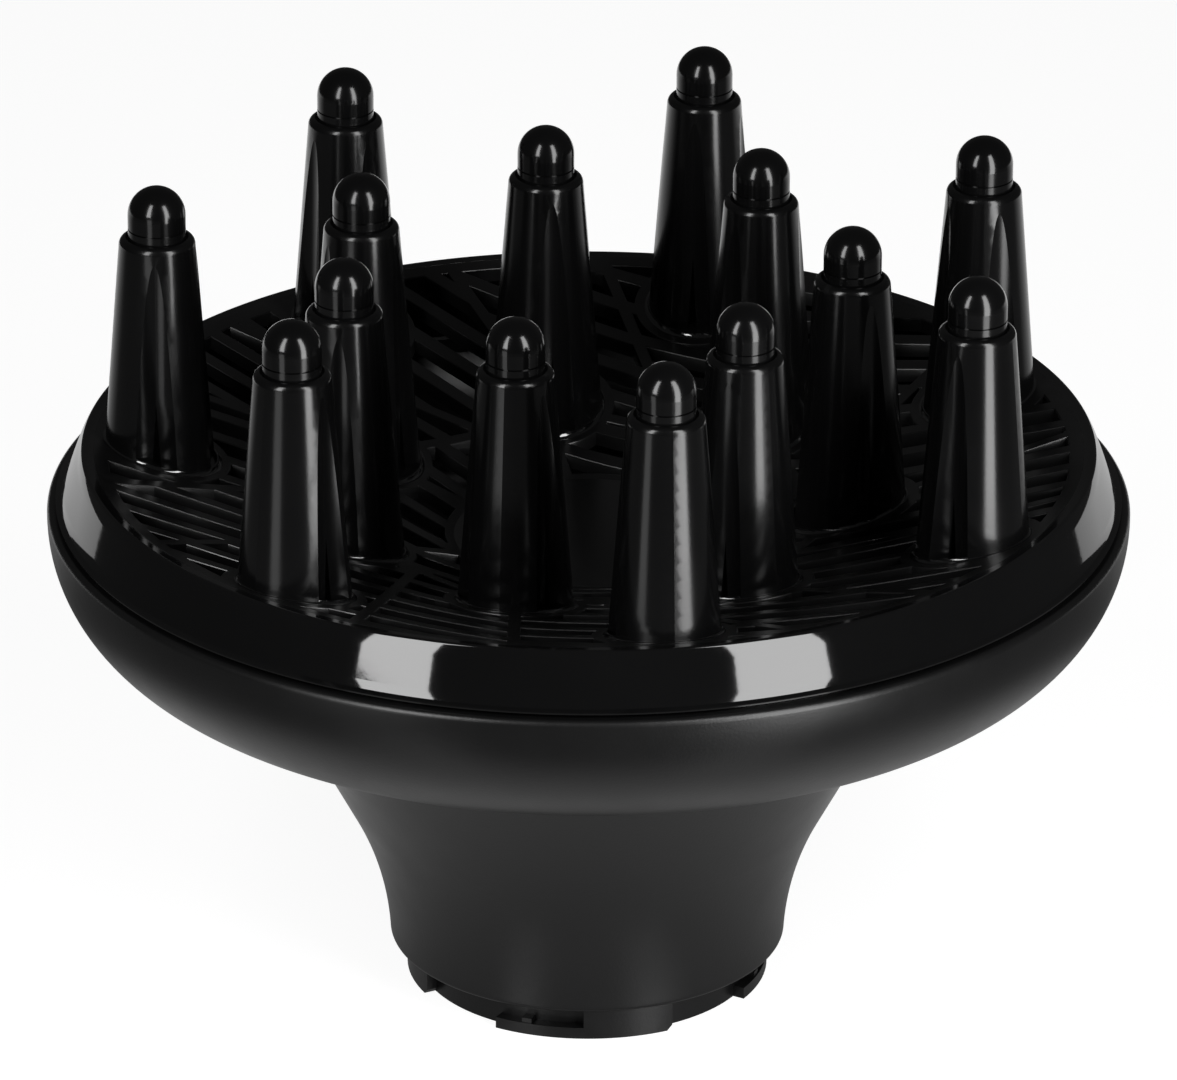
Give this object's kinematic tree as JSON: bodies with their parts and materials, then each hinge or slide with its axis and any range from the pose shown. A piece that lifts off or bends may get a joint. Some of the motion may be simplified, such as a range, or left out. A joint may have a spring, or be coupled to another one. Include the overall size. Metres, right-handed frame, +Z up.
{
  "type": "hair dryer diffuser",
  "caption": "Bowl-shaped hair dryer diffuser with a dished slotted faceplate, hollow fluted fingers with domed tips and a bayonet collar.",
  "frame": {"origin": "on the axis of the neck, at the bottom of the bayonet collar", "axes": "+Z up the axis from the collar to the finger tips; -Y towards the viewer"},
  "size_m": [0.15, 0.15, 0.1159],
  "materials": {
    "bowl": "fine matte texture",
    "faceplate": "high gloss",
    "collar": "satin",
    "fingers": "satin gloss",
    "tips": "high gloss"
  },
  "bodies": {
    "root": {"bowl_shell": "bowl", "faceplate": "faceplate", "bayonet_collar": "collar", "outer_finger_1": "fingers", "outer_finger_2": "fingers", "outer_finger_3": "fingers", "outer_finger_4": "fingers", "outer_finger_5": "fingers", "outer_finger_6": "fingers", "outer_finger_7": "fingers", "inner_finger_1": "fingers", "inner_finger_2": "fingers", "inner_finger_3": "fingers", "inner_finger_4": "fingers", "inner_finger_5": "fingers", "inner_finger_6": "fingers", "inner_finger_7": "fingers", "outer_tip_1": "tips", "outer_tip_2": "tips", "outer_tip_3": "tips", "outer_tip_4": "tips", "outer_tip_5": "tips", "outer_tip_6": "tips", "outer_tip_7": "tips", "inner_tip_1": "tips", "inner_tip_2": "tips", "inner_tip_3": "tips", "inner_tip_4": "tips", "inner_tip_5": "tips", "inner_tip_6": "tips", "inner_tip_7": "tips"}
  },
  "joints": []
}
